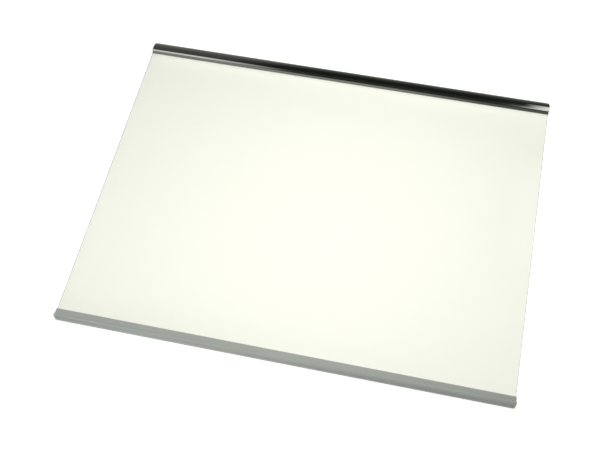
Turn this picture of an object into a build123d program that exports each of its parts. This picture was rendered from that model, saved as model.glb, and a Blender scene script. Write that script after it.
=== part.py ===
from build123d import *
import os
from math import asin, degrees, sqrt

# Glass shelf of a refrigerator: a toughened pane with a moulded trim pushed over its front and rear edges.
# Millimetres. X runs along the trims, +Y points to the front edge, +Z is up.
# The origin is under the middle of the shelf, on the surface that it lies on.

# Glass pane
GLASS_WIDTH = 475.0
GLASS_DEPTH = 362.7
GLASS_THICKNESS = 4.0
GLASS_CORNER = 5.0  # plan radius of the four corners
GLASS_ARRIS = 0.3  # ground chamfer along the top and bottom edges

# Fits between the pane and the trims' channels
EDGE_CLEARANCE = 0.2  # from the pane's edge to the end of a channel
FACE_CLEARANCE = 0.1  # from the pane's top to an upper lip, because the pane lies on the lower lips

# Both trims
LOWER_LIP = 1.5  # thickness of the lips under the pane
LOWER_SETBACK = 4.0  # the lower lips are this much shorter, so that they don't show through the pane
LEAD_IN = 0.5  # chamfer that guides the pane into a channel
BASE_ROUND = 0.8  # radius along the outer bottom edge
STEP_ROUND = 0.5  # plan radius where a lip's end meets the nose

# Front trim: feathered lip, ramp, crowned bead and quarter round nose
FRONT_DEPTH = 19.1  # from the lip's edge to the outside of the nose
FRONT_GRIP = 8.0  # how far the channel takes the pane in
FRONT_LIP_EDGE = 0.2  # thickness of the upper lip at its edge
FRONT_LIP = 0.7  # thickness of the upper lip at the foot of the ramp
FRONT_LIP_WIDTH = 3.6
FRONT_LIP_ROUND = 0.1  # radius along the edge of the upper lip
FRONT_RAMP = 2.0  # width of the ramp from the lip up to the bead
FRONT_RISE = 0.7  # height of the bead above the lip
CROWN_RADIUS = 40.0  # across the top of the bead
CROWN_RISE = 0.3  # height of the crown above the top of the nose's own circle
FRONT_FACE = 0.2  # upright strip between the nose and the bottom round
RAMP_BLEND = 1.2  # radius at the foot and at the head of the ramp
FRONT_LIP_OVERHANG = 0.0  # how far the lips reach past the pane at each end
FRONT_OVERHANG = 0.8  # how far the nose reaches past the pane at each end
FRONT_CORNER = 8.0  # plan radius of the outer corners
FRONT_WEB = 2.0  # wall between the pane's edge and the hollow of the nose
NOSE_WALL = 2.0
RIB_THICKNESS = 1.2
RIB_PITCH = 43.0  # wanted distance between the cross ribs in the hollow
RIB_SETBACK = 0.8  # the ribs end this far above the base

# Rear trim: thin lip, raised bead and rounded outer edge
REAR_DEPTH = 10.8
REAR_GRIP = 8.0
REAR_LIP = 0.8
REAR_LIP_WIDTH = 5.8
REAR_LIP_ROUND = 0.3
REAR_RAMP = 0.8
REAR_RISE = 0.5
REAR_BLEND = 0.5
REAR_ROUND = 4.0  # radius of the outer top edge
REAR_LIP_OVERHANG = 0.4
REAR_OVERHANG = 1.0
REAR_CORNER = 3.8

# Levels above the base
PANE_BOTTOM = LOWER_LIP
PANE_TOP = PANE_BOTTOM + GLASS_THICKNESS
LIP_BOTTOM = PANE_TOP + FACE_CLEARANCE

# Places along Y
OPEN_DEPTH = GLASS_DEPTH - FRONT_GRIP - REAR_GRIP
TOTAL_DEPTH = FRONT_DEPTH + OPEN_DEPTH + REAR_DEPTH
FRONT_LIP_Y = TOTAL_DEPTH / 2 - FRONT_DEPTH
REAR_LIP_Y = REAR_DEPTH - TOTAL_DEPTH / 2
PANE_Y = FRONT_LIP_Y + FRONT_GRIP - GLASS_DEPTH / 2

# Section planes: first the distance outward from the lip's edge, then the height.
FRONT_SECTION = Plane(origin=(0, FRONT_LIP_Y, 0), x_dir=(0, 1, 0), z_dir=(1, 0, 0))
REAR_SECTION = Plane(origin=(0, REAR_LIP_Y, 0), x_dir=(0, -1, 0), z_dir=(-1, 0, 0))

# Plan planes: first the distance outward from the lip's edge, then the place along the trim.
FRONT_PLAN = Plane(origin=(0, FRONT_LIP_Y, 0), x_dir=(0, 1, 0), z_dir=(0, 0, 1))
REAR_PLAN = Plane(origin=(0, REAR_LIP_Y, 0), x_dir=(0, -1, 0), z_dir=(0, 0, 1))


def corner(face, across, up):
    """The vertex of a flat face that lies nearest to a point of its plane."""
    return face.vertices().sort_by_distance((across, up, 0))[0]


def pane_outline(clearance):
    """The pane seen from above, grown by a clearance all round."""
    width = GLASS_WIDTH + 2 * clearance
    depth = GLASS_DEPTH + 2 * clearance
    return Pos(0, PANE_Y) * RectangleRounded(width, depth, GLASS_CORNER + clearance)


def make_glass():
    """The pane with its ground edges."""
    pane = Pos(0, 0, PANE_BOTTOM) * extrude(pane_outline(0), GLASS_THICKNESS)
    rims = pane.faces().sort_by(Axis.Z)[0].edges() + pane.faces().sort_by(Axis.Z)[-1].edges()
    return chamfer(rims, GLASS_ARRIS)


def trim_plan(depth, lip_width, lip_overhang, overhang, round_corner):
    """A trim seen from above: the lips end near the pane's sides, and the nose reaches past them."""
    lip_end = GLASS_WIDTH / 2 + lip_overhang
    nose_end = GLASS_WIDTH / 2 + overhang
    outline = Polyline(
        (0, -lip_end),
        (lip_width, -lip_end),
        (lip_width, -nose_end),
        (depth, -nose_end),
        (depth, nose_end),
        (lip_width, nose_end),
        (lip_width, lip_end),
        (0, lip_end),
        close=True,
    )
    plan = make_face(outline)
    plan = fillet([corner(plan, lip_width, -lip_end), corner(plan, lip_width, lip_end)], STEP_ROUND)
    return fillet([corner(plan, depth, -nose_end), corner(plan, depth, nose_end)], round_corner)


def channel(lip_width, plan_plane):
    """The room for the pane, which is closed round its corners and open at the ends of the lips."""
    open_ends = Pos(lip_width / 2, 0) * Rectangle(lip_width, 2 * GLASS_WIDTH)
    height = LIP_BOTTOM - PANE_BOTTOM
    room = extrude(pane_outline(EDGE_CLEARANCE), height) + extrude(plan_plane * open_ends, height)
    return Pos(0, 0, PANE_BOTTOM) * room


def make_trim(section, section_plane, plan, plan_plane, lip_width, height):
    """A trim's outer form, shaped by its section and its plan, with the channel for the pane cut in."""
    length = 2 * plan.bounding_box().max.Y
    bar = extrude(section_plane * section, length / 2, both=True)
    bar = bar & extrude(plan_plane * plan, height)
    return bar - channel(lip_width, plan_plane)


def lip_mouth():
    """The edge of a section from the base to the foot of the upper lip, with the lower lip's lead-in."""
    return [
        (LOWER_SETBACK, 0),
        (LOWER_SETBACK, PANE_BOTTOM - LEAD_IN),
        (LOWER_SETBACK + LEAD_IN, PANE_BOTTOM),
        (0, PANE_BOTTOM),
    ]


def front_nose_arcs():
    """The crown of the bead and the nose, two arcs that meet in line."""
    top = LIP_BOTTOM + FRONT_LIP + FRONT_RISE
    nose_up = BASE_ROUND + FRONT_FACE
    nose_radius = top - CROWN_RISE - nose_up
    nose_across = FRONT_DEPTH - nose_radius
    reach = CROWN_RADIUS - nose_radius
    crown_across = nose_across - sqrt(reach**2 - (reach - CROWN_RISE) ** 2)
    lean = degrees(asin((nose_across - crown_across) / reach))
    back = degrees(asin((crown_across - FRONT_LIP_WIDTH - FRONT_RAMP) / CROWN_RADIUS))
    crown = CenterArc((crown_across, top - CROWN_RADIUS), CROWN_RADIUS, 90 + back, -back - lean)
    nose = CenterArc((nose_across, nose_up), nose_radius, 90 - lean, lean - 90)
    return crown, nose


def front_section(crown, nose):
    """The front trim's outer section."""
    lip_edge = LIP_BOTTOM + FRONT_LIP_EDGE
    lip_foot = LIP_BOTTOM + FRONT_LIP
    rest = Polyline(
        nose @ 1,
        (FRONT_DEPTH, 0),
        *lip_mouth(),
        (0, lip_edge),
        (FRONT_LIP_WIDTH, lip_foot),
        crown @ 0,
    )
    section = make_face(crown + nose + rest)
    section = fillet(corner(section, FRONT_DEPTH, 0), BASE_ROUND)
    section = fillet(corner(section, 0, lip_edge), FRONT_LIP_ROUND)
    section = fillet(corner(section, FRONT_LIP_WIDTH, lip_foot), RAMP_BLEND)
    return fillet(corner(section, (crown @ 0).X, (crown @ 0).Y), RAMP_BLEND)


def nose_core(crown, nose, wall):
    """The section of the hollow in the nose for a given wall, open at the bottom."""
    web_inside = FRONT_GRIP + EDGE_CLEARANCE + FRONT_WEB - NOSE_WALL
    below = -2 * NOSE_WALL
    rest = Polyline(nose @ 1, (FRONT_DEPTH, below), ((crown @ 0).X, below), crown @ 0)
    solid_nose = make_face(crown + nose + rest)
    past_web = Pos(web_inside, below) * Rectangle(FRONT_DEPTH, FRONT_DEPTH, align=Align.MIN)
    return offset(solid_nose & past_web, -wall)


def make_front_trim():
    """The front trim, with a ribbed hollow under its nose."""
    crown, nose = front_nose_arcs()
    plan = trim_plan(FRONT_DEPTH, FRONT_LIP_WIDTH, FRONT_LIP_OVERHANG, FRONT_OVERHANG, FRONT_CORNER)
    height = LIP_BOTTOM + FRONT_LIP + FRONT_RISE
    section = front_section(crown, nose)
    trim = make_trim(section, FRONT_SECTION, plan, FRONT_PLAN, FRONT_LIP_WIDTH, height)
    hollow_length = GLASS_WIDTH + 2 * FRONT_OVERHANG - 2 * NOSE_WALL
    hollow = extrude(FRONT_SECTION * nose_core(crown, nose, NOSE_WALL), hollow_length / 2, both=True)
    trim -= hollow & extrude(FRONT_PLAN * offset(plan, -NOSE_WALL), height, both=True)
    above_base = Pos(0, RIB_SETBACK) * Rectangle(FRONT_DEPTH, height, align=Align.MIN)
    rib_face = nose_core(crown, nose, NOSE_WALL / 2) & above_base
    rib = extrude(FRONT_SECTION * rib_face, RIB_THICKNESS / 2, both=True)
    bays = round(hollow_length / RIB_PITCH)
    for number in range(1, bays):
        trim += Pos(hollow_length * (number / bays - 0.5), 0, 0) * rib
    return trim


def rear_section():
    """The rear trim's outer section."""
    lip_top = LIP_BOTTOM + REAR_LIP
    top = lip_top + REAR_RISE
    ramp_head = REAR_LIP_WIDTH + REAR_RAMP
    outline = Polyline(
        *lip_mouth(),
        (0, lip_top),
        (REAR_LIP_WIDTH, lip_top),
        (ramp_head, top),
        (REAR_DEPTH, top),
        (REAR_DEPTH, 0),
        close=True,
    )
    section = make_face(outline)
    section = fillet(corner(section, REAR_DEPTH, top), REAR_ROUND)
    section = fillet(corner(section, REAR_DEPTH, 0), BASE_ROUND)
    section = fillet(corner(section, 0, lip_top), REAR_LIP_ROUND)
    section = fillet(corner(section, REAR_LIP_WIDTH, lip_top), REAR_BLEND)
    return fillet(corner(section, ramp_head, top), REAR_BLEND)


def make_rear_trim():
    """The rear trim."""
    plan = trim_plan(REAR_DEPTH, REAR_LIP_WIDTH, REAR_LIP_OVERHANG, REAR_OVERHANG, REAR_CORNER)
    height = LIP_BOTTOM + REAR_LIP + REAR_RISE
    return make_trim(rear_section(), REAR_SECTION, plan, REAR_PLAN, REAR_LIP_WIDTH, height)


pieces = {
    "glass_panel": make_glass(),
    "front_trim": make_front_trim(),
    "rear_trim": make_rear_trim(),
}
os.makedirs("parts", exist_ok=True)
for name, piece in pieces.items():
    export_step(piece, f"parts/{name}.step")
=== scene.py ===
import math

import bmesh
import bpy
from mathutils import Matrix, Vector


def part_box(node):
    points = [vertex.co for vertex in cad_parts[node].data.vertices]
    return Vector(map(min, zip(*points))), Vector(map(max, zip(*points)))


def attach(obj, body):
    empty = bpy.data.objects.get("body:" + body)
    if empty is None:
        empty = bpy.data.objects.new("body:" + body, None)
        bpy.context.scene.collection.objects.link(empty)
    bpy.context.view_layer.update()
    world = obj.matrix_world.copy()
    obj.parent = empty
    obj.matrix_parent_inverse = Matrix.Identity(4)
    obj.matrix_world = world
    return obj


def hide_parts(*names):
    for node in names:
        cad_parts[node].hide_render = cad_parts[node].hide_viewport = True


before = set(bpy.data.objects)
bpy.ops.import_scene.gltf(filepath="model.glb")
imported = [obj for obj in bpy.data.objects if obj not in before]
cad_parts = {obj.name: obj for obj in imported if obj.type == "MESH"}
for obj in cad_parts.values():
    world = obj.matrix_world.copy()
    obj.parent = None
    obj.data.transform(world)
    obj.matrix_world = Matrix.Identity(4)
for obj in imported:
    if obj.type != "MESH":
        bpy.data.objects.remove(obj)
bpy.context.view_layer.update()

MM = 0.001
WHITE = (1.0, 1.0, 1.0, 1.0)

# Camera: where the photograph was taken from, its direction and its lens
CAMERA_PLACE = Vector((0.12295, -0.5397, 0.9195))
CAMERA_AZIMUTH = math.radians(14.730)
CAMERA_ELEVATION = math.radians(60.025)
CAMERA_ROLL = math.radians(2.877)
LENS_MM = 58.446
SENSOR_MM = 36.0

# A noise is given by its scale along the three axes and its detail. Most of it lies in the middle range
MID_NOISE = (0.3, 0.7)

# Glass: a pale cast, smears on the faces and finely ground edges. Colours are linear
GLASS_TINT = (0.955, 0.966, 0.872, 1.0)
GLASS_SHADOW = (0.97, 0.975, 0.955, 1.0)
GLASS_IOR = 1.5
SMEARS = ((9, 9, 9), 4.0)
SMEAR_RANGE = (0.45, 0.8)
SMEAR_ROUGHNESS = (0.0, 0.03)
GROUND_ROUGHNESS = 0.35
GROUND_TO_FACE = (0.75, 0.95)  # how upright the surface's normal is, on the edges and on the faces

# Chrome: plating with fine lines along the moulding and faint smudges
CHROME = (0.79, 0.80, 0.74, 1.0)
CHROME_LINES = ((4, 900, 900), 3.0)
CHROME_LINE_ROUGHNESS = (0.03, 0.07)
CHROME_LINE_BUMP = 0.15
CHROME_LINE_DEPTH = 0.01 * MM
SMUDGES = ((14, 40, 40), 5.0)
SMUDGE_RANGE = (0.5, 0.75)
SMUDGE_ROUGHNESS = (0.0, 0.06)

# Plastic: matte grey with a fine grain, flow lines along the moulding and broad patches
GREY_PLASTIC = (0.373, 0.398, 0.364)
GRAIN = ((2600, 2600, 2600), 2.0)
GRAIN_SHADE = (-0.03, 0.03)
GRAIN_BUMP = 0.25
GRAIN_DEPTH = 0.04 * MM
FLOW_LINES = ((6, 700, 700), 3.0)
FLOW_SHADE = (0.95, 1.02)
PATCHES = ((18, 18, 18), 4.0)
PATCH_SHADE = (-0.03, 0.03)
PATCH_ROUGHNESS = (0.42, 0.56)

# Floor: a pale surface with a glow of its own, and more glow for the camera, to which it is white
FLOOR_COLOUR = (0.50, 0.50, 0.50, 1.0)
FLOOR_GLOW = 0.572
FLOOR_GLOW_SEEN = 0.25
FLOOR_HALF_SIZE = 12.0
FLOOR_DROP = 0.2 * MM

# Studio: the fill on the object, and what gloss shows by the sine of the height above the horizon
FILL = 0.20
STUDIO_TINT = (0.90, 1.0, 0.86)
STUDIO_LEVELS = [
    # sine of the height, level
    (0.0, 0.20),
    (0.34, 0.15),
    (0.57, 0.12),
    (0.64, 0.055),
    (0.70, 0.02),
    (0.77, 0.01),
    (1.0, 0.02),
]

# Soft cards that only gloss shows. The left and wall cards are for the chrome's left half, the right, far
# right and end cards for its right end, the lip cards for its lip, the trim card for the grey trim's left end
SOFT_CARDS = [
    # name, middle, size, width of the soft edges, level
    ("left_card", (-1.085, 0.685, 3.0), (1.03, 0.57), (0.38, 0.13), 0.66),
    ("right_card", (1.025, 0.43, 3.0), (1.25, 0.36), (0.10, 0.06), 1.00),
    ("far_right_card", (1.08, 1.90, 3.0), (1.20, 0.70), (0.06, 0.20), 0.55),
    ("end_card", (0.44, 0.397, 0.3), (0.40, 0.11), (0.04, 0.03), 1.00),
    ("lip_card", (-0.825, 1.38, 3.0), (2.25, 0.90), (0.40, 0.35), 0.22),
    ("long_lip_card", (-0.40, 1.38, 3.0), (3.20, 0.90), (0.40, 0.35), 0.08),
    ("trim_card", (-0.42, -0.19, 0.25), (0.40, 0.22), (0.12, 0.06), 7.5),
    ("wall_card", (-1.90, 3.80, 3.0), (2.30, 4.40), (0.30, 0.30), 0.05),
]

# Places that the frame's boxes tell
PANE_LOW, PANE_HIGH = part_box("glass_panel")
FRONT_LOW, FRONT_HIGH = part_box("front_trim")
REAR_LOW, REAR_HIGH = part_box("rear_trim")
FRONT_DEPTH = FRONT_HIGH.y - FRONT_LOW.y
REAR_DEPTH = REAR_HIGH.y - REAR_LOW.y
FRONT_GRIP = PANE_HIGH.y - FRONT_LOW.y

# Lamps: a soft key over the pane, a low one at the left rear, and a weak strip close over the front lip,
# which stands for the light that the plating throws on the glass
LAMPS = [
    # name, place, aim, size, power in watts
    ("key", (0.037, -0.013, 0.435), (0.037, -0.013, 0.0), (0.3, 0.3), 2.05),
    ("left", (-0.15, -0.443, 0.061), (-0.15, -0.18, 0.0), (0.1, 0.1), 0.25),
    ("lip", (0.0, FRONT_LOW.y - 0.004, 0.010), (0.0, FRONT_LOW.y, 0.0), (0.46, 0.003), 0.005),
]

# Sizes of the trims that the boxes don't tell, the same as in the solids but for the foot of the front ramp
FACE_CLEARANCE = 0.1 * MM
EDGE_CLEARANCE = 0.2 * MM
GLASS_CORNER = 5.0 * MM
LOWER_SETBACK = 4.0 * MM
LEAD_IN = 0.5 * MM
BASE_ROUND = 0.8 * MM
STEP_ROUND = 0.5 * MM
FRONT_LIP_EDGE = 0.2 * MM
FRONT_LIP = 0.7 * MM
FRONT_LIP_WIDTH = 3.6 * MM
FRONT_LIP_ROUND = 0.1 * MM
FRONT_RAMP = 2.0 * MM
FRONT_RISE = 0.7 * MM
CROWN_RADIUS = 40.0 * MM
CROWN_RISE = 0.3 * MM
FRONT_FACE = 0.2 * MM
RAMP_BLEND = 1.2 * MM
RAMP_FOOT = 13.0 * MM  # rounder than in the solid, as the fine bright line on the plating shows
FRONT_LIP_OVERHANG = 0.0 * MM
FRONT_CORNER = 8.0 * MM
FRONT_WEB = 2.0 * MM
NOSE_WALL = 2.0 * MM
RIB_THICKNESS = 1.2 * MM
RIB_PITCH = 43.0 * MM
RIB_SETBACK = 0.8 * MM
REAR_LIP = 0.8 * MM
REAR_LIP_WIDTH = 5.8 * MM
REAR_LIP_ROUND = 0.3 * MM
REAR_RAMP = 0.8 * MM
REAR_RISE = 0.5 * MM
REAR_BLEND = 0.5 * MM
REAR_ROUND = 4.0 * MM
REAR_LIP_OVERHANG = 0.4 * MM
REAR_CORNER = 3.8 * MM
LIP_BOTTOM = PANE_HIGH.z + FACE_CLEARANCE

# Skins of the trims: steps of their arcs, and how sharp a join has to be to stay an edge
ARC_STEP = math.radians(3)
SHARP_ANGLE = math.radians(24)
PASS_BY = 1.0 * MM  # how far a cutting form reaches past what it cuts
SLIP = 0.01 * MM  # keeps two forms that touch in line from sharing a face


def new_material(name):
    """A material with an empty node tree, and that tree."""
    material = bpy.data.materials.new(name)
    material.use_nodes = True
    material.node_tree.nodes.clear()
    return material, material.node_tree


def add(tree, kind, inputs=(), **settings):
    """A node with its settings made and its input sockets set or linked."""
    node = tree.nodes.new(kind)
    for key, value in settings.items():
        setattr(node, key, value)
    for key, value in dict(inputs).items():
        if isinstance(value, bpy.types.NodeSocket):
            tree.links.new(value, node.inputs[key])
        else:
            node.inputs[key].default_value = value
    return node


def math_node(tree, operation, *values):
    """The result of a sum on numbers or sockets."""
    return add(tree, "ShaderNodeMath", dict(enumerate(values)), operation=operation).outputs[0]


def remap(tree, value, source, target):
    """A value moved from one range to another and held inside it."""
    return add(tree, "ShaderNodeMapRange", {
        "Value": value,
        "From Min": source[0],
        "From Max": source[1],
        "To Min": target[0],
        "To Max": target[1],
    }).outputs[0]


def noise(tree, place, scale, detail):
    """Noise over a place, with a scale along each of the three axes."""
    scaled = add(tree, "ShaderNodeMapping", {"Vector": place, "Scale": scale}).outputs[0]
    return add(tree, "ShaderNodeTexNoise", {"Vector": scaled, "Scale": 1.0, "Detail": detail}).outputs["Fac"]


def mirrored(tree, path):
    """One for a ray that gloss threw back, zero for one that went through the glass."""
    both = math_node(tree, "SUBTRACT", path["Is Glossy Ray"], path["Is Transmission Ray"])
    return math_node(tree, "MAXIMUM", both, 0.0)


def make_glass():
    """Clear float glass with a pale cast, finely ground along its edges."""
    material, tree = new_material("glass")
    place = add(tree, "ShaderNodeTexCoord").outputs["Object"]
    normal = add(tree, "ShaderNodeNewGeometry").outputs["Normal"]
    upright = add(tree, "ShaderNodeSeparateXYZ", {"Vector": normal}).outputs["Z"]
    flat = math_node(tree, "ABSOLUTE", upright)
    face = remap(tree, noise(tree, place, *SMEARS), SMEAR_RANGE, SMEAR_ROUGHNESS)
    rough = remap(tree, flat, GROUND_TO_FACE, (GROUND_ROUGHNESS, face))
    shader = add(tree, "ShaderNodeBsdfPrincipled", {
        "Base Color": GLASS_TINT,
        "Roughness": rough,
        "IOR": GLASS_IOR,
        "Transmission Weight": 1.0,
    })
    clear = add(tree, "ShaderNodeBsdfTransparent", {"Color": GLASS_SHADOW})
    shadow = add(tree, "ShaderNodeLightPath").outputs["Is Shadow Ray"]
    mixed = add(tree, "ShaderNodeMixShader", {0: shadow, 1: shader.outputs[0], 2: clear.outputs[0]})
    add(tree, "ShaderNodeOutputMaterial", {"Surface": mixed.outputs[0]})
    return material


def make_chrome():
    """Bright plating with fine lines along the moulding and faint smudges."""
    material, tree = new_material("chrome")
    place = add(tree, "ShaderNodeTexCoord").outputs["Object"]
    lines = noise(tree, place, *CHROME_LINES)
    drawn = remap(tree, lines, MID_NOISE, CHROME_LINE_ROUGHNESS)
    smudged = remap(tree, noise(tree, place, *SMUDGES), SMUDGE_RANGE, SMUDGE_ROUGHNESS)
    bump = add(tree, "ShaderNodeBump", {
        "Height": lines,
        "Strength": CHROME_LINE_BUMP,
        "Distance": CHROME_LINE_DEPTH,
    })
    shader = add(tree, "ShaderNodeBsdfPrincipled", {
        "Base Color": CHROME,
        "Metallic": 1.0,
        "Roughness": math_node(tree, "ADD", drawn, smudged),
        "Normal": bump.outputs[0],
    })
    add(tree, "ShaderNodeOutputMaterial", {"Surface": shader.outputs[0]})
    return material


def make_plastic():
    """Matte light grey moulding with a fine grain and faint flow lines."""
    material, tree = new_material("grey_plastic")
    place = add(tree, "ShaderNodeTexCoord").outputs["Object"]
    grain = noise(tree, place, *GRAIN)
    patches = noise(tree, place, *PATCHES)
    shade = remap(tree, noise(tree, place, *FLOW_LINES), MID_NOISE, FLOW_SHADE)
    shade = math_node(tree, "ADD", shade, remap(tree, patches, MID_NOISE, PATCH_SHADE))
    shade = math_node(tree, "ADD", shade, remap(tree, grain, MID_NOISE, GRAIN_SHADE))
    colour = add(tree, "ShaderNodeVectorMath", {0: GREY_PLASTIC, "Scale": shade}, operation="SCALE")
    bump = add(tree, "ShaderNodeBump", {"Height": grain, "Strength": GRAIN_BUMP, "Distance": GRAIN_DEPTH})
    shader = add(tree, "ShaderNodeBsdfPrincipled", {
        "Base Color": colour.outputs[0],
        "Roughness": remap(tree, patches, MID_NOISE, PATCH_ROUGHNESS),
        "Normal": bump.outputs[0],
    })
    add(tree, "ShaderNodeOutputMaterial", {"Surface": shader.outputs[0]})
    return material


def arc(middle, start, end):
    """Points from a start to an end round a middle, the shorter way."""
    spoke = start - middle
    turn = spoke.angle_signed(end - middle)
    steps = max(1, math.ceil(abs(turn) / ARC_STEP))
    return [middle + Matrix.Rotation(-turn * step / steps, 2) @ spoke for step in range(steps + 1)]


def rounded(corners):
    """A closed outline from corners given as x, y and radius."""
    outline = []
    for index, (x, y, radius) in enumerate(corners):
        here = Vector((x, y))
        if radius == 0:
            outline.append(here)
            continue
        back = (Vector(corners[index - 1][:2]) - here).normalized()
        ahead = (Vector(corners[(index + 1) % len(corners)][:2]) - here).normalized()
        half = back.angle(ahead) / 2
        middle = here + (back + ahead).normalized() * (radius / math.sin(half))
        reach = radius / math.tan(half)
        outline += arc(middle, here + back * reach, here + ahead * reach)
    return outline


def prism(outline, low, high, place):
    """A closed form: an outline drawn out between two levels, each point put where place says."""
    shape = bmesh.new()
    ends = [[shape.verts.new(place(x, y, level)) for x, y in outline] for level in (low, high)]
    for end in ends:
        shape.faces.new(end)
    for index in range(len(outline)):
        shape.faces.new((ends[0][index - 1], ends[0][index], ends[1][index], ends[1][index - 1]))
    bmesh.ops.recalc_face_normals(shape, faces=shape.faces)
    mesh = bpy.data.meshes.new("form")
    shape.to_mesh(mesh)
    shape.free()
    form = bpy.data.objects.new("form", mesh)
    bpy.context.scene.collection.objects.link(form)
    return form


def combine(form, operation, tool):
    """Crosses, cuts or joins a form with another, which it uses up."""
    step = form.modifiers.new(operation, "BOOLEAN")
    step.operation = operation
    step.object = tool
    evaluated = form.evaluated_get(bpy.context.evaluated_depsgraph_get())
    form.data = bpy.data.meshes.new_from_object(evaluated)
    form.modifiers.clear()
    bpy.data.objects.remove(tool)


def section_place(lip, out):
    """Puts a point of a section, and its place along the trim, into the frame."""
    return lambda across, up, along: (along, lip + out * across, up)


def plan_place(lip, out):
    """Puts a point of a plan, and its height, into the frame."""
    return lambda across, along, up: (along, lip + out * across, up)


def pane_space():
    """The room that the pane takes up in the channels."""
    low = PANE_LOW.xy - Vector((EDGE_CLEARANCE, EDGE_CLEARANCE))
    high = PANE_HIGH.xy + Vector((EDGE_CLEARANCE, EDGE_CLEARANCE))
    radius = GLASS_CORNER + EDGE_CLEARANCE
    corners = [(low.x, low.y), (high.x, low.y), (high.x, high.y), (low.x, high.y)]
    outline = rounded([(x, y, radius) for x, y in corners])
    return prism(outline, PANE_LOW.z, LIP_BOTTOM, lambda x, y, up: (x, y, up))


def open_ends(lip_width, nose_end, lip, out):
    """The room between the lips, which are open at their ends."""
    outline = [(-PASS_BY, -nose_end), (lip_width, -nose_end), (lip_width, nose_end), (-PASS_BY, nose_end)]
    return prism(outline, PANE_LOW.z, LIP_BOTTOM, plan_place(lip, out))


def trim_plan(depth, lip_width, lip_overhang, nose_end, radius):
    """A trim seen from above: the lips end near the pane's sides, and the nose reaches past them."""
    lip_end = PANE_HIGH.x + lip_overhang
    return rounded([
        (-PASS_BY, -lip_end, 0),
        (lip_width, -lip_end, STEP_ROUND),
        (lip_width, -nose_end, 0),
        (depth + SLIP, -nose_end, radius),
        (depth + SLIP, nose_end, radius),
        (lip_width, nose_end, 0),
        (lip_width, lip_end, STEP_ROUND),
        (-PASS_BY, lip_end, 0),
    ])


def mouth():
    """The corners of a section from the base to the upper lip, with the lower lip's lead-in."""
    inside = (PANE_LOW.z + PANE_HIGH.z) / 2
    return [
        (LOWER_SETBACK, 0, 0),
        (LOWER_SETBACK, PANE_LOW.z - LEAD_IN, 0),
        (LOWER_SETBACK + LEAD_IN, PANE_LOW.z, 0),
        (LOWER_SETBACK + LEAD_IN, inside, 0),
        (0, inside, 0),
    ]


def trim_form(section, plan, lip_width, lip, out, nose_end, top):
    """A trim's outer form, shaped by its section and its plan, with the channel for the pane cut in."""
    form = prism(section, -nose_end - PASS_BY, nose_end + PASS_BY, section_place(lip, out))
    combine(form, "INTERSECT", prism(plan, -PASS_BY, top + PASS_BY, plan_place(lip, out)))
    combine(form, "DIFFERENCE", pane_space())
    combine(form, "DIFFERENCE", open_ends(lip_width, nose_end + PASS_BY, lip, out))
    return form


def crown_and_nose(start, inset):
    """The line over the bead from a start and down round the nose, moved inward by an inset."""
    top = LIP_BOTTOM + FRONT_LIP + FRONT_RISE
    nose_up = BASE_ROUND + FRONT_FACE
    nose_radius = top - CROWN_RISE - nose_up
    nose_middle = Vector((FRONT_DEPTH - nose_radius, nose_up))
    reach = CROWN_RADIUS - nose_radius
    crown_x = nose_middle.x - math.sqrt(reach**2 - (reach - CROWN_RISE) ** 2)
    crown_middle = Vector((crown_x, top - CROWN_RADIUS))
    radius = CROWN_RADIUS - inset
    begin = Vector((start, crown_middle.y + math.sqrt(radius**2 - (start - crown_x) ** 2)))
    join = crown_middle + (nose_middle - crown_middle).normalized() * radius
    end = Vector((FRONT_DEPTH - inset, nose_up))
    return arc(crown_middle, begin, join) + arc(nose_middle, join, end)[1:]


def nose_core(inset, bottom):
    """The section of the hollow in the nose for a given wall and bottom level."""
    start = FRONT_GRIP + EDGE_CLEARANCE + FRONT_WEB - NOSE_WALL + inset
    line = crown_and_nose(start, inset)
    return [Vector((start, bottom)), *line, Vector((FRONT_DEPTH - inset, bottom))]


def front_form():
    """The front trim: feathered lip, ramp, crowned bead and round nose over a ribbed hollow."""
    lip, out = FRONT_LOW.y, 1
    nose_end = FRONT_HIGH.x
    bead = crown_and_nose(FRONT_LIP_WIDTH + FRONT_RAMP, 0.0)
    section = rounded([
        (0, LIP_BOTTOM + FRONT_LIP_EDGE, FRONT_LIP_ROUND),
        (FRONT_LIP_WIDTH, LIP_BOTTOM + FRONT_LIP, RAMP_FOOT),
        (*bead[0], RAMP_BLEND),
        *[(*point, 0) for point in bead[1:]],
        (FRONT_DEPTH, 0, BASE_ROUND),
        *mouth(),
    ])
    plan = trim_plan(FRONT_DEPTH, FRONT_LIP_WIDTH, FRONT_LIP_OVERHANG, nose_end, FRONT_CORNER)
    form = trim_form(section, plan, FRONT_LIP_WIDTH, lip, out, nose_end, FRONT_HIGH.z)
    hollow_end = nose_end - NOSE_WALL
    front_wall = FRONT_DEPTH - NOSE_WALL + SLIP
    hollow = prism(nose_core(NOSE_WALL, -PASS_BY), -nose_end, nose_end, section_place(lip, out))
    hollow_plan = rounded([
        (FRONT_GRIP, -hollow_end, 0),
        (front_wall, -hollow_end, FRONT_CORNER - NOSE_WALL),
        (front_wall, hollow_end, FRONT_CORNER - NOSE_WALL),
        (FRONT_GRIP, hollow_end, 0),
    ])
    room = prism(hollow_plan, -PASS_BY - SLIP, FRONT_HIGH.z, plan_place(lip, out))
    combine(hollow, "INTERSECT", room)
    combine(form, "DIFFERENCE", hollow)
    bays = round(2 * hollow_end / RIB_PITCH)
    rib = nose_core(NOSE_WALL / 2, RIB_SETBACK)
    for number in range(1, bays):
        along = 2 * hollow_end * (number / bays - 0.5)
        sides = (along - RIB_THICKNESS / 2, along + RIB_THICKNESS / 2)
        combine(form, "UNION", prism(rib, *sides, section_place(lip, out)))
    return form


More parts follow.
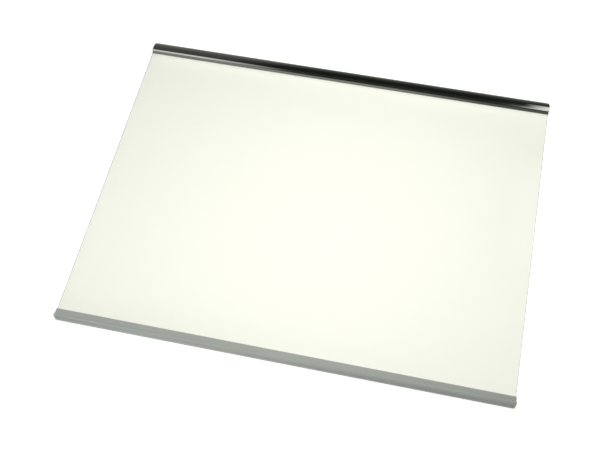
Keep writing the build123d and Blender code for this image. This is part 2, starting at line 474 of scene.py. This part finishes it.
def rear_form():
    """The rear trim: thin lip, raised bead and rounded outer edge."""
    lip, out = REAR_HIGH.y, -1
    nose_end = REAR_HIGH.x
    lip_top = LIP_BOTTOM + REAR_LIP
    top = lip_top + REAR_RISE
    section = rounded([
        (0, lip_top, REAR_LIP_ROUND),
        (REAR_LIP_WIDTH, lip_top, REAR_BLEND),
        (REAR_LIP_WIDTH + REAR_RAMP, top, REAR_BLEND),
        (REAR_DEPTH, top, REAR_ROUND),
        (REAR_DEPTH, 0, BASE_ROUND),
        *mouth(),
    ])
    plan = trim_plan(REAR_DEPTH, REAR_LIP_WIDTH, REAR_LIP_OVERHANG, nose_end, REAR_CORNER)
    return trim_form(section, plan, REAR_LIP_WIDTH, lip, out, nose_end, top)


def make_skin(node, form, material):
    """Makes a form the fine skin of a solid, smooth over its rounds and sharp at its edges."""
    shape = bmesh.new()
    shape.from_mesh(form.data)
    for face in shape.faces:
        face.smooth = True
    for edge in shape.edges:
        edge.smooth = edge.is_manifold and edge.calc_face_angle() < SHARP_ANGLE
    shape.to_mesh(form.data)
    shape.free()
    form.data.materials.clear()
    form.data.materials.append(material)
    form.name = form.data.name = f"{node}_skin"
    even = form.modifiers.new("even_shading", "WEIGHTED_NORMAL")
    even.keep_sharp = True
    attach(form, "root")
    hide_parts(node)


def stage_mesh(name, corners, material):
    """One flat face of the studio."""
    mesh = bpy.data.meshes.new(name)
    mesh.from_pydata(corners, [], [range(len(corners))])
    mesh.materials.append(material)
    face = bpy.data.objects.new(name, mesh)
    bpy.context.scene.collection.objects.link(face)
    return face


def make_floor():
    """A pale floor that reads as white and keeps the shadow."""
    material, tree = new_material("floor")
    path = add(tree, "ShaderNodeLightPath").outputs
    glow = math_node(tree, "MULTIPLY_ADD", path["Is Camera Ray"], FLOOR_GLOW_SEEN, FLOOR_GLOW)
    matt = add(tree, "ShaderNodeBsdfDiffuse", {"Color": FLOOR_COLOUR})
    light = add(tree, "ShaderNodeEmission", {"Strength": glow})
    both = add(tree, "ShaderNodeAddShader", {0: matt.outputs[0], 1: light.outputs[0]})
    add(tree, "ShaderNodeOutputMaterial", {"Surface": both.outputs[0]})
    half = FLOOR_HALF_SIZE
    corners = [(-half, -half, 0), (half, -half, 0), (half, half, 0), (-half, half, 0)]
    floor = stage_mesh("floor", corners, material)
    floor.location.z = -FLOOR_DROP


def only_in_gloss(face):
    """Leaves a card to reflections alone."""
    face.visible_camera = False
    face.visible_diffuse = False
    face.visible_transmission = False
    face.visible_shadow = False


def make_soft_card(name, middle, size, soft, level):
    """A card that adds its light to what lies behind it and fades out along its edges."""
    material, tree = new_material(name)
    place = add(tree, "ShaderNodeTexCoord").outputs["Object"]
    axes = add(tree, "ShaderNodeSeparateXYZ", {"Vector": place}).outputs
    strength = level
    for axis in range(2):
        off_middle = math_node(tree, "ABSOLUTE", axes[axis])
        half = size[axis] / 2
        cover = remap(tree, off_middle, (half - soft[axis], half), (1.0, 0.0))
        strength = math_node(tree, "MULTIPLY", cover, strength)
    light = add(tree, "ShaderNodeEmission", {"Strength": strength})
    clear = add(tree, "ShaderNodeBsdfTransparent")
    both = add(tree, "ShaderNodeAddShader", {0: light.outputs[0], 1: clear.outputs[0]})
    add(tree, "ShaderNodeOutputMaterial", {"Surface": both.outputs[0]})
    x, y = size[0] / 2, size[1] / 2
    card = stage_mesh(name, [(-x, -y, 0), (x, -y, 0), (x, y, 0), (-x, y, 0)], material)
    card.location = middle
    only_in_gloss(card)


def make_world():
    """White to the camera and through the glass, a soft fill on the object, a dark studio to gloss."""
    world = bpy.data.worlds.new("studio")
    bpy.context.scene.world = world
    world.use_nodes = True
    tree = world.node_tree
    tree.nodes.clear()
    path = add(tree, "ShaderNodeLightPath").outputs
    direction = add(tree, "ShaderNodeTexCoord").outputs["Generated"]
    height = add(tree, "ShaderNodeSeparateXYZ", {"Vector": direction}).outputs["Z"]
    ramp = add(tree, "ShaderNodeValToRGB", {"Fac": height})
    elements = ramp.color_ramp.elements
    while len(elements) < len(STUDIO_LEVELS):
        elements.new(1.0)
    for stop, (position, strength) in zip(elements, STUDIO_LEVELS):
        stop.position = position
        stop.color = (*[strength * tint for tint in STUDIO_TINT], 1.0)
    fill = math_node(tree, "MULTIPLY_ADD", path["Is Transmission Ray"], -FILL, FILL)
    scattered = math_node(tree, "MINIMUM", path["Diffuse Depth"], 1.0)
    seen_through = math_node(tree, "SUBTRACT", path["Is Transmission Ray"], scattered)
    white = math_node(tree, "MAXIMUM", path["Is Camera Ray"], seen_through)
    level = math_node(tree, "MAXIMUM", white, fill)
    plain = add(tree, "ShaderNodeBackground", {"Color": WHITE, "Strength": level})
    studio = add(tree, "ShaderNodeBackground", {"Color": ramp.outputs["Color"], "Strength": 1.0})
    share = mirrored(tree, path)
    mixed = add(tree, "ShaderNodeMixShader", {0: share, 1: plain.outputs[0], 2: studio.outputs[0]})
    add(tree, "ShaderNodeOutputWorld", {"Surface": mixed.outputs[0]})


def make_lamp(name, place, aim, size, power):
    """A lamp that lights the object but doesn't show in its gloss."""
    data = bpy.data.lights.new(name, "AREA")
    data.shape = "RECTANGLE"
    data.size, data.size_y = size
    data.energy = power
    # A ray thrown through the glass can't meet the lamp, so all its light is sampled at the lamp
    data.cycles.use_multiple_importance_sampling = False
    lamp = bpy.data.objects.new(name, data)
    bpy.context.scene.collection.objects.link(lamp)
    lamp.location = place
    lamp.rotation_mode = "QUATERNION"
    lamp.rotation_quaternion = (Vector(aim) - Vector(place)).to_track_quat("-Z", "Y")
    lamp.visible_glossy = False
    lamp.visible_transmission = False
    lamp.visible_camera = False


def make_camera():
    """The photograph's camera."""
    forward = Vector((
        -math.sin(CAMERA_AZIMUTH) * math.cos(CAMERA_ELEVATION),
        math.cos(CAMERA_AZIMUTH) * math.cos(CAMERA_ELEVATION),
        -math.sin(CAMERA_ELEVATION),
    ))
    level = forward.cross(Vector((0, 0, 1))).normalized()
    right = level * math.cos(CAMERA_ROLL) + forward.cross(level) * math.sin(CAMERA_ROLL)
    up = right.cross(forward)
    data = bpy.data.cameras.new("camera")
    data.lens = LENS_MM
    data.sensor_width = SENSOR_MM
    camera = bpy.data.objects.new("camera", data)
    turn = Matrix((right, up, -forward)).transposed()
    camera.matrix_world = Matrix.Translation(CAMERA_PLACE) @ turn.to_4x4()
    bpy.context.scene.collection.objects.link(camera)
    bpy.context.scene.camera = camera


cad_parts["glass_panel"].material_slots[0].material = make_glass()
make_skin("front_trim", front_form(), make_chrome())
make_skin("rear_trim", rear_form(), make_plastic())
make_floor()
for soft_card in SOFT_CARDS:
    make_soft_card(*soft_card)
make_world()
for lamp in LAMPS:
    make_lamp(*lamp)
make_camera()
bpy.context.scene.view_settings.view_transform = "Standard"
